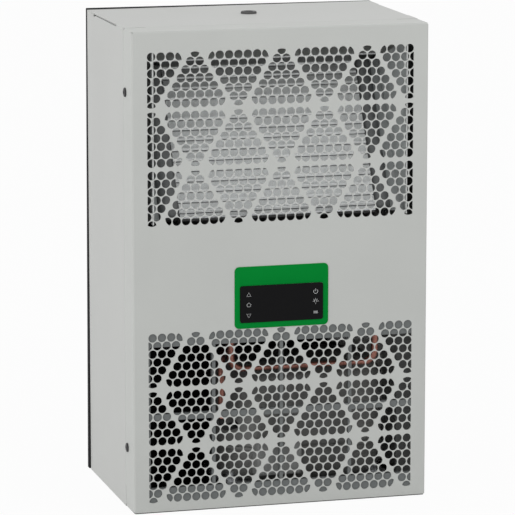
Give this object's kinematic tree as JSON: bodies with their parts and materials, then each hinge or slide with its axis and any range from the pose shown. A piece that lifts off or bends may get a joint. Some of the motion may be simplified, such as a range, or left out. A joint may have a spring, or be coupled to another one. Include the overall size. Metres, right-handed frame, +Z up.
{
  "type": "enclosure cooling unit",
  "caption": "Side-mounted cooling unit: folded steel case, perforated front grilles, control panel, coil and compressor behind, air openings and seal at the rear.",
  "frame": {"origin": "middle of the footprint, at the level that the unit stands on", "axes": "+Z up, -Y out of the front cover, +Y out of the rear seal, +X to the right seen from the front"},
  "size_m": [0.2632, 0.1772, 0.414],
  "materials": {
    "cover_paint": "semi-gloss powder coat",
    "case_paint": "semi-gloss powder coat",
    "screw_black": "black plated",
    "panel_green": "satin film",
    "panel_black": "gloss",
    "housing_dark": "fine grain",
    "galvanised": "galvanised",
    "plated_steel": "zinc plated",
    "foam_seal": "closed-cell foam",
    "coil_aluminium": "mill finish",
    "dark_sheet": "matt",
    "frame_plastic": "satin",
    "shell_grey": "satin",
    "relay_grey": "satin",
    "rubber_black": "matt",
    "copper": "drawn copper tube",
    "guard_wire": "plated wire"
  },
  "bodies": {
    "root": {"front_cover": "cover_paint", "upper_grille": "cover_paint", "lower_grille": "cover_paint", "cover_screws": "screw_black", "control_label": "panel_green", "controller_window": "panel_black", "controller_body": "housing_dark", "left_side": "case_paint", "right_side": "case_paint", "top_panel": "case_paint", "bottom_panel": "case_paint", "back_panel": "galvanised", "rear_gasket": "foam_seal", "lifting_nut": "plated_steel", "mounting_inserts": "plated_steel", "partition": "housing_dark", "condenser_core": "coil_aluminium", "condenser_header_left": "coil_aluminium", "condenser_header_right": "coil_aluminium", "coil_blankoff_left": "dark_sheet", "coil_blankoff_right": "dark_sheet", "coil_tray": "galvanised", "coil_cap": "dark_sheet", "dust_frame": "frame_plastic", "compressor_upper_shell": "shell_grey", "compressor_seam": "shell_grey", "compressor_lower_shell": "shell_grey", "compressor_base": "galvanised", "compressor_grommets": "rubber_black", "compressor_studs": "plated_steel", "terminal_cover": "frame_plastic", "relay_box": "relay_grey", "loop_pipe": "copper", "suction_pipe": "copper", "filter_drier": "copper", "liquid_pipe": "copper", "evaporator": "coil_aluminium", "condensate_tray": "galvanised", "fan_frame": "housing_dark", "fan_rotor": "housing_dark", "fan_guard": "guard_wire", "outlet_louvres": "housing_dark"}
  },
  "joints": []
}
